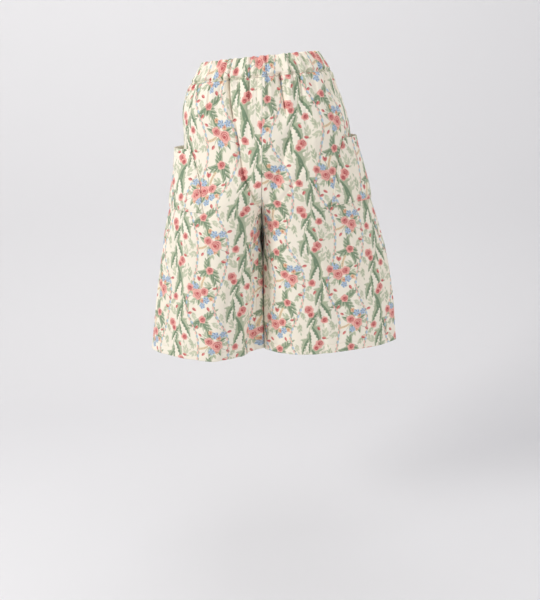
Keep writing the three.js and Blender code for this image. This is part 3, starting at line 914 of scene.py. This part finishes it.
def printed_cotton(name, stitch_rows):
    """The face of the cloth: a cream ground, the inks one over another, and rows of stitches,
    each at a distance from one of the two edges that the sewing attribute measures."""
    material, tree, shader = new_material(name)
    place = wire(tree, "ShaderNodeUVMap", uv_map="cloth").outputs[0]
    body = wire(tree, "ShaderNodeTexCoord").outputs["Object"]
    mottle = linked(tree, "ShaderNodeTexNoise", body, None, 7.0, 3.0)
    colour = linked(tree, "ShaderNodeMixRGB", mottle, linear(CREAM), linear(CREAM_WARM))
    grain = linked(tree, "ShaderNodeTexNoise", place, None, 900.0, 2.0)
    density = linked(tree, "ShaderNodeMapRange", grain, 0.2, 0.8, 0.74, 1.0)
    layers = []
    for part in INK_PARTS:
        vector = wire(tree, "ShaderNodeAttribute", attribute_name=part).outputs["Vector"]
        layers += list(wire(tree, "ShaderNodeSeparateXYZ", vector).outputs)
    for layer, tone in zip(layers, INKS.values()):
        inked = linked(tree, "ShaderNodeMapRange", layer, -0.45, 0.45, 0.0, 1.0)
        inked = maths(tree, "MULTIPLY", inked, density)
        colour = linked(tree, "ShaderNodeMixRGB", inked, colour, linear(tone))
    relief = weave_of(tree, place)
    sewing = wire(tree, "ShaderNodeAttribute", attribute_name="sewing").outputs["Vector"]
    along, edge, second_edge = wire(tree, "ShaderNodeSeparateXYZ", sewing).outputs
    for which, distance in stitch_rows:
        off = maths(tree, "SUBTRACT", second_edge if which else edge, distance)
        off = maths(tree, "ABSOLUTE", off)
        line = linked(tree, "ShaderNodeMapRange", off, STITCH_HALF, STITCH_EDGE, 1.0, 0.0)
        beat = maths(tree, "FRACT", maths(tree, "DIVIDE", along, STITCH))
        dash = linked(tree, "ShaderNodeMapRange", beat, 0.7, 0.78, 1.0, 0.0)
        thread = maths(tree, "MULTIPLY", line, dash)
        colour = linked(tree, "ShaderNodeMixRGB", thread, colour, linear(THREAD))
        groove = linked(tree, "ShaderNodeMapRange", off, 0.0, GROOVE_HALF, -GROOVE_DEPTH, 0.0)
        stitch = maths(tree, "MULTIPLY", thread, STITCH_HEIGHT)
        relief = maths(tree, "ADD", relief, maths(tree, "ADD", groove, stitch))
    finish_cotton(tree, shader, colour, relief)
    return material


def cotton_reverse():
    """The back of the cloth: paler, with faint blots in place of the print."""
    material, tree, shader = new_material("cotton_reverse")
    place = wire(tree, "ShaderNodeUVMap", uv_map="cloth").outputs[0]
    colour = linked(tree, "ShaderNodeRGB")
    colour.default_value = linear(REVERSE)
    for scale, low, tone in ((38.0, 0.56, (206, 210, 192)), (55.0, 0.64, (226, 190, 178))):
        blots = linked(tree, "ShaderNodeTexNoise", place, None, scale, 2.0)
        blotted = linked(tree, "ShaderNodeMapRange", blots, low, low + 0.05, 0.0, 0.7)
        colour = linked(tree, "ShaderNodeMixRGB", blotted, colour, linear(tone))
    finish_cotton(tree, shader, colour, weave_of(tree, place))
    return material


reverse = cotton_reverse()


def dress(piece, flat, sewing, material, print_start):
    """Gives a piece its flat cloth map, its inks, its sewing distances and its two materials."""
    mesh = piece.data
    inks = inks_at(flat + np.array(print_start))
    for k, part in enumerate(INK_PARTS):
        give_points(mesh, part, inks[:, 3 * k : 3 * k + 3])
    give_points(mesh, "sewing", sewing / 1000.0)
    corners = np.empty(len(mesh.loops), np.int32)
    mesh.loops.foreach_get("vertex_index", corners)
    uv = mesh.uv_layers.new(name="cloth")
    uv.data.foreach_set("uv", (flat[corners] / 1000.0).astype(np.float32).ravel())
    mesh.materials.append(material)
    mesh.materials.append(reverse)
    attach(piece, "root")


UPPER_STEPS, LOWER_STEPS, ACROSS_STEPS = 180, 192, 248
# The distance given to a point that has no second edge to sew along.
NO_EDGE = 500.0
upper = np.linspace(CASING_DEPTH + 2 * SEAM_HALF, CROTCH, UPPER_STEPS + 1)
panel_drops = np.concatenate([upper, np.linspace(CROTCH, LENGTH, LOWER_STEPS + 1)[1:]])
panel_across = np.linspace(0.0, 1.0, ACROSS_STEPS + 1)
panel_cotton = printed_cotton("panel_cotton", [(0, HEM_TURN / 1000.0)])
PRINT_STARTS = dict(frontRight=(0, 0), frontLeft=(31, 6), backRight=(12, 90), backLeft=(50, 34))


def leg_panel(panel, name, node):
    """One leg's front or back, from its outer surface and a softer inner one under it."""
    outer, flat, relief = leg_surface(panel, panel_drops, panel_across, fine=True)
    few_drops, few_across = panel_drops[::COARSE], panel_across[::COARSE]
    middle, few_flat, _ = leg_surface(panel, few_drops, few_across, fine=False)
    wall = CLOTH - lowest_near(relief)
    inner = middle - panel_out(panel, few_drops, middle) * wall[..., None]
    piece = cloth_shell(name, outer, inner)
    flat = np.concatenate([flat.reshape(-1, 2), few_flat.reshape(-1, 2)])
    to_hem = flat[:, 1].max() - flat[:, 1]
    sewing = np.stack([flat[:, 0], to_hem, np.full(len(flat), NO_EDGE)], -1)
    dress(piece, flat, sewing, panel_cotton, PRINT_STARTS[panel])
    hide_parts(node)


leg_panel("frontRight", "front_leg_right", "front_panel_right")
leg_panel("frontLeft", "front_leg_left", "front_panel_left")
leg_panel("backRight", "back_leg_right", "back_panel_right")
leg_panel("backLeft", "back_leg_left", "back_panel_left")

# Waist casing
# A strip of the same cotton, folded over a wide elastic and stitched down along its lower edge.
# The elastic draws it into puffs and valleys that run on into the legs.
CASING_WALL, CASING_COLUMNS, PUFF, INNER_PUFF = 1.6, 168, 7.2, 0.6
# How far above its lower edge it begins to ease onto the legs, how proud of them it ends, how far
# above its edge it is stitched, and the radius of its folded top, where its rows lie closer.
MEETS_LEGS, ENDS_PROUD, CASING_STITCH, FOLD_RADIUS = 9.0, 0.5, 3.0, 1.5
casing_drops = np.concatenate([[0.0, 0.12, 0.4, 0.85, 1.5], np.linspace(2.6, CASING_DEPTH, 36)])


def casing_surface(drops, columns, puff_height):
    """Four quarter sections joined in a ring, with their outward directions and how far the cloth
    is lifted along them: h (puffs - 0.55), filled out between the folded top and the stitches. The
    lower edge meets the gathered top of the legs."""
    rings = []
    for panel in ("frontLeft", "backLeft", "backRight", "frontRight"):
        across = np.linspace(0.0, 1.0, columns + 1)
        x, y, whole, share = even_sections(panel, drops, across)
        out_x, out_y = level_out(panel, drops, x, y)
        turn, down = turn_of(panel, across), drops[:, None]
        belly = 1.0 - (2.0 * down / CASING_DEPTH - 1.0) ** 2
        lift = puff_height * (puffs(turn) - 0.55) * (1.0 - 0.25 * belly) + 0.25 * puff_height * belly
        lift = lift + 0.12 * puff_height * soft_noise(turn * 60.0 + 30.0, down / 7.0)
        at_seam = (panel, share[-1:], np.array([[CASING_DEPTH]]), whole[-1:])
        legs = main_depth(*at_seam) + fine_depth(*at_seam)
        near_legs = smooth((down - CASING_DEPTH + MEETS_LEGS) / MEETS_LEGS)
        lift = lift + (legs + ENDS_PROUD - lift) * near_legs
        from_stitch = down - CASING_DEPTH + CASING_STITCH
        lift = lift - 0.22 * puff_height * np.exp(-((from_stitch / 1.5) ** 2))
        rounding = np.sqrt(FOLD_RADIUS**2 - np.maximum(FOLD_RADIUS - down, 0.0) ** 2) - FOLD_RADIUS
        lift = lift + rounding
        crest = 0.42 * puff_height * (puffs(turn) - 0.6) * np.exp(-down / 8.0)
        flat_across = across * flat_width(0.0) * side_of(panel) * -face_of(panel)
        grids = (x, y, height(x, down) + crest, out_x, out_y, 0.0 * x, lift, flat_across, down)
        # Every quarter runs on round the ring and leaves its last column to the next.
        used = slice(0, -1) if turn[0] < turn[-1] else slice(None, 0, -1)
        rings.append(np.stack(np.broadcast_arrays(*grids), -1)[:, used])
    ring = np.concatenate(rings, 1)
    return ring[..., :3], ring[..., 3:6], ring[..., 6], ring[..., 7:]


plain, out, lift, flat = casing_surface(casing_drops, CASING_COLUMNS, PUFF)
outer = plain + out * lift[..., None]
few_columns = CASING_COLUMNS // COARSE
plain, out, _, few_flat = casing_surface(casing_drops[::COARSE], few_columns, INNER_PUFF)
inner = plain + out * (lowest_near(lift) - CASING_WALL)[..., None]
casing = cloth_shell("waist_casing_cloth", outer, inner, ring=True)
flat = np.concatenate([flat.reshape(-1, 2), few_flat.reshape(-1, 2)])
sewing = np.stack([flat[:, 0], CASING_DEPTH - flat[:, 1], flat[:, 1]], -1)
casing_cotton = printed_cotton("casing_cotton", [(0, CASING_STITCH / 1000.0)])
dress(casing, flat, sewing, casing_cotton, (18.0, 140.0))
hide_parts("waist_casing")

# Patch pockets
# A wide pocket is laid over each side seam, spread towards its lower edge, with a turned and
# stitched mouth that stands away from the leg. It is made from the leg's points, moved out.
POCKET_REST, POCKET_CLOTH, MOUTH_TURN, POCKET_EDGE_STITCH = 0.8, 1.3, 22.0, 4.0
# From the side seam to the front and back edges, at the mouth and at the foot, and about midway.
POCKET_HALVES, MEAN_HALF = dict(front=(72.0, 144.0), back=(76.0, 130.0)), 100.0
# How far each mouth gapes and each pouch sags.
POCKET_HANG = dict(Right=(19.0, 9.0), Left=(10.0, 8.0))
pocket_steps = np.linspace(0.0, 1.0, 89)
pocket_stitches = [(0, POCKET_EDGE_STITCH / 1000.0), (1, MOUTH_TURN / 1000.0)]
pocket_cotton = printed_cotton("pocket_cotton", pocket_stitches)


def pocket_half_width(face_name, down):
    """From the side seam to a pocket's front or back edge; it spreads evenly on the way down."""
    top, bottom = POCKET_HALVES[face_name]
    return top + (bottom - top) * down


def pocket_half(panel, run, share):
    """The leg's points and outward directions under half of a pocket, and how far each lies from
    the side seam."""
    drops = POCKET_MOUTH[side_name(panel)] + POCKET_HEIGHT * run
    points = leg_surface(panel, drops, panel_across, fine=False)[0][:, ::-1]
    out = square_out(points, -side_of(panel) * face_of(panel))
    out[:, 0, 1] = 0.0
    step = np.linalg.norm(np.diff(points, axis=1), axis=2)
    from_seam = np.concatenate([np.zeros((len(run), 1)), np.cumsum(step, 1)], 1)
    half_width = pocket_half_width("front" if face_of(panel) < 0 else "back", run[:, None])
    # Each row starts a metre further on, so that one interpolation serves them all.
    row = 1000.0 * np.arange(len(run))[:, None]
    known, wanted = (from_seam + row).ravel(), (half_width * share + row)
    points, out = (
        np.stack([np.interp(wanted, known, grid[..., k].ravel()) for k in range(3)], -1)
        for grid in (points, out)
    )
    return points, unit(out), half_width * share


def pocket_under(wearer_side, run, share):
    """Both halves side by side: points, outward directions, and how far a point lies behind the
    side seam in millimetres and as a share of the pocket's half width."""
    front, back = (pocket_half(face + wearer_side, run, share) for face in ("front", "back"))
    points, out = (np.hstack([front[k][:, :0:-1], back[k]]) for k in range(2))
    away = np.hstack([-front[2][:, :0:-1], back[2]])
    return points, out, away, np.concatenate([-share[:0:-1], share])


def pocket_stand(wearer_side, down, share):
    """How far a pocket stands off the leg: a mouth that gapes and a belly that sags,
    (gape (1 - d)^1.6 + 4 sag d (1 - d)) (1 - s^2)^1.2."""
    gape, sag = POCKET_HANG[wearer_side]
    stand = gape * (1.0 - down) ** 1.6 + 4.0 * sag * down * (1.0 - down)
    return stand * (1.0 - share**2) ** 1.2


def pocket_relief(away, down, share):
    """The small relief of a pocket: rumples, the turned mouth's double cloth and the rows of
    stitches along its mouth and its edges."""
    rumple = 1.3 * soft_noise(away / 34.0 + 9.0, down * 3.2)
    rumple = rumple + 0.3 * soft_noise(away / 9.0 + 20.0, down * 11.0)
    rumple = rumple * smooth((1.0 - np.abs(share)) / 0.15)
    rumple = rumple * smooth(down / 0.1) * smooth((1.0 - down) / 0.12)
    hem = MOUTH_TURN - down * POCKET_HEIGHT
    edge = np.minimum((1.0 - np.abs(share)) * MEAN_HALF, (1.0 - down) * POCKET_HEIGHT)
    sewn = 0.4 * np.exp(-(((edge - POCKET_EDGE_STITCH) / 1.6) ** 2))
    sewn = sewn * (1.0 + 0.4 * np.sin(away / 3.0))
    return rumple + 0.5 * smooth(hem / 2.5) - 0.5 * np.exp(-((hem / 1.8) ** 2)) - sewn


def patch_pocket(wearer_side, name, node, print_start):
    """A pocket's outer surface with its relief, and a softer inner one under it."""
    few_steps = pocket_steps[::COARSE]
    points, out, away, share = pocket_under(wearer_side, pocket_steps, pocket_steps)
    few_points, few_out, few_away, few_share = pocket_under(wearer_side, few_steps, few_steps)
    down, few_down = pocket_steps[:, None], few_steps[:, None]
    relief = pocket_relief(away, down, share)
    stand = pocket_stand(wearer_side, down, share) + relief
    outer = points + out * (POCKET_REST + POCKET_CLOTH + stand)[..., None]
    stand = pocket_stand(wearer_side, few_down, few_share)
    stand = stand + np.maximum(lowest_near(relief), -POCKET_REST / 2)
    inner = few_points + few_out * (POCKET_REST + stand)[..., None]
    piece = cloth_shell(name, outer, inner)
    across = np.concatenate([away.ravel(), few_away.ravel()])
    grids = ((down, away), (few_down, few_away))
    below = np.concatenate([np.broadcast_to(d, a.shape).ravel() for d, a in grids])
    flat = np.stack([across, below * POCKET_HEIGHT], -1)
    half_width = np.where(across < 0.0, pocket_half_width("front", below), pocket_half_width("back", below))
    side_edge, bottom_edge = half_width - np.abs(across), POCKET_HEIGHT - flat[:, 1]
    along = np.where(side_edge < bottom_edge, flat[:, 1], flat[:, 0])
    sewing = np.stack([along, np.minimum(side_edge, bottom_edge), flat[:, 1]], -1)
    dress(piece, flat, sewing, pocket_cotton, print_start)
    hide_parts(node)


patch_pocket("Right", "pocket_right", "patch_pocket_right", (20.0, 60.0))
patch_pocket("Left", "pocket_left", "patch_pocket_left", (55.0, 10.0))
